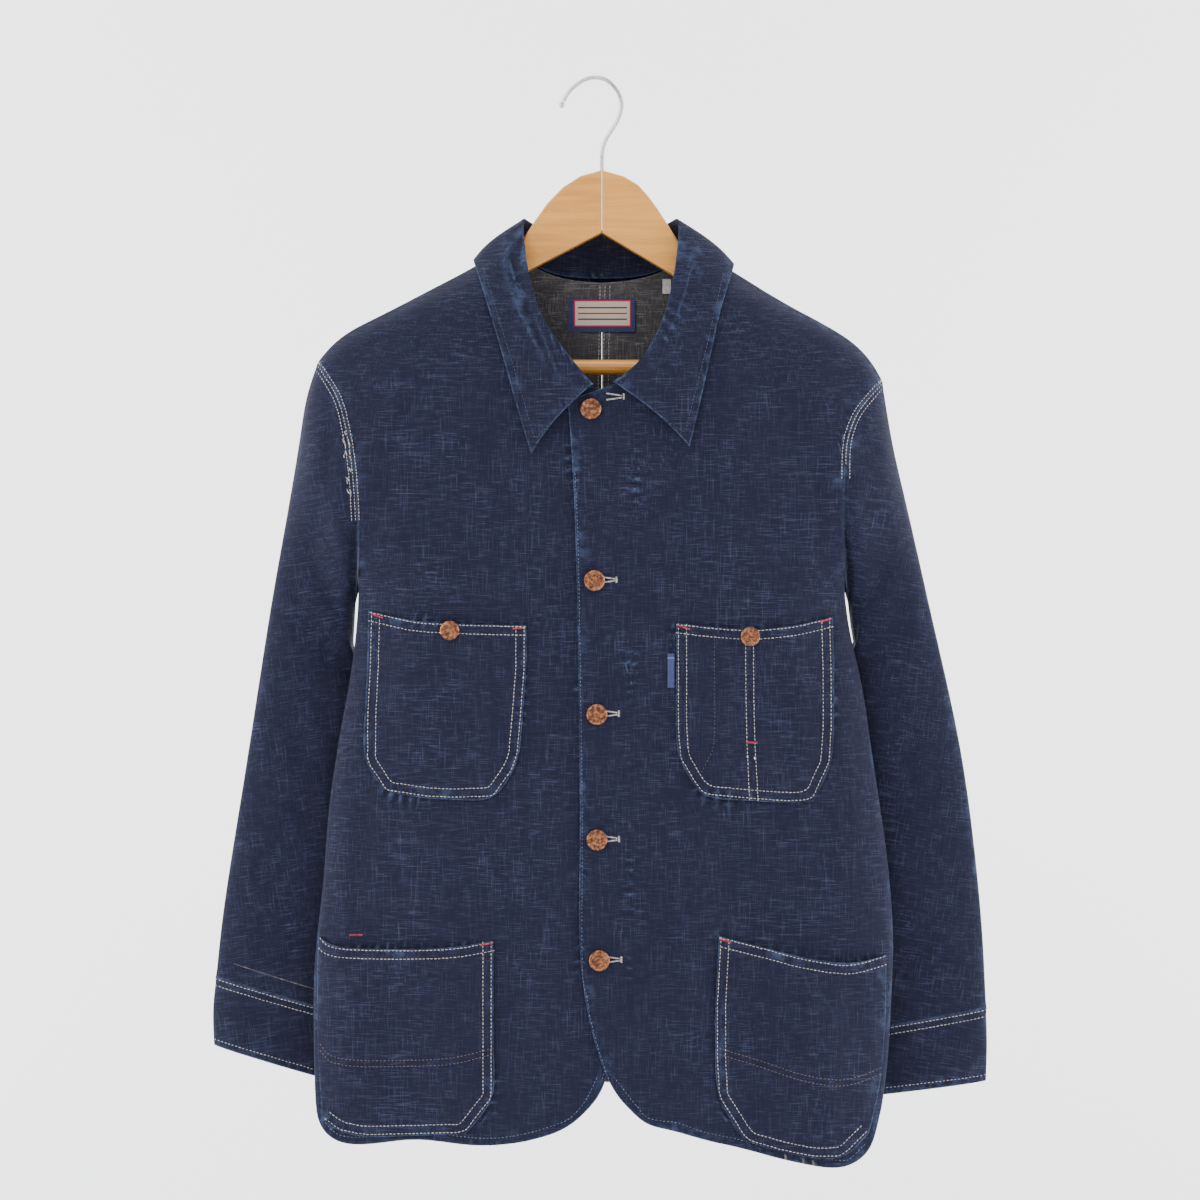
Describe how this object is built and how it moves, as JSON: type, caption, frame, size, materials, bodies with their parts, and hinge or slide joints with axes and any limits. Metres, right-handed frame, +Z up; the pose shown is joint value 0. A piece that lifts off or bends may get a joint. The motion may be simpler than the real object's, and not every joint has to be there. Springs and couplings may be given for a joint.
{
  "type": "chore jacket on a wooden hanger",
  "caption": "Button-front denim chore jacket with a turned-down collar, patch pockets and cuffs, hanging open and flat on a wooden hanger with a wire hook.",
  "frame": {"origin": "inside of the crest of the hanger's hook, where it hangs", "axes": "+Z up along the hanging garment, -Y out of its buttoned front, +X towards its left sleeve as the wearer has it"},
  "size_m": [0.647, 0.0996, 0.9046],
  "materials": {
    "denim": "indigo denim, slubby, worn pale on the edges",
    "copper": "aged copper, domed shank buttons",
    "woven_label": "woven label",
    "pale_label": "woven tape",
    "wood": "varnished maple",
    "wire": "plated steel wire"
  },
  "bodies": {
    "root": {"front_left": "denim", "front_right": "denim", "back_left": "denim", "back_right": "denim", "top_sleeve_left": "denim", "top_sleeve_right": "denim", "under_sleeve_left": "denim", "under_sleeve_right": "denim", "cuff_left": "denim", "cuff_right": "denim", "collar": "denim", "chest_pocket_left": "denim", "chest_pocket_right": "denim", "lower_pocket_left": "denim", "lower_pocket_right": "denim", "front_button_1": "copper", "front_button_2": "copper", "front_button_3": "copper", "front_button_4": "copper", "front_button_5": "copper", "pocket_button_left": "copper", "pocket_button_right": "copper", "neck_label": "woven_label", "size_label": "pale_label", "pocket_tab": "woven_label", "hanger_arm_left": "wood", "hanger_arm_right": "wood", "hanger_bar": "wood", "hanger_hook": "wire", "hook_ball": "wire"}
  },
  "joints": []
}
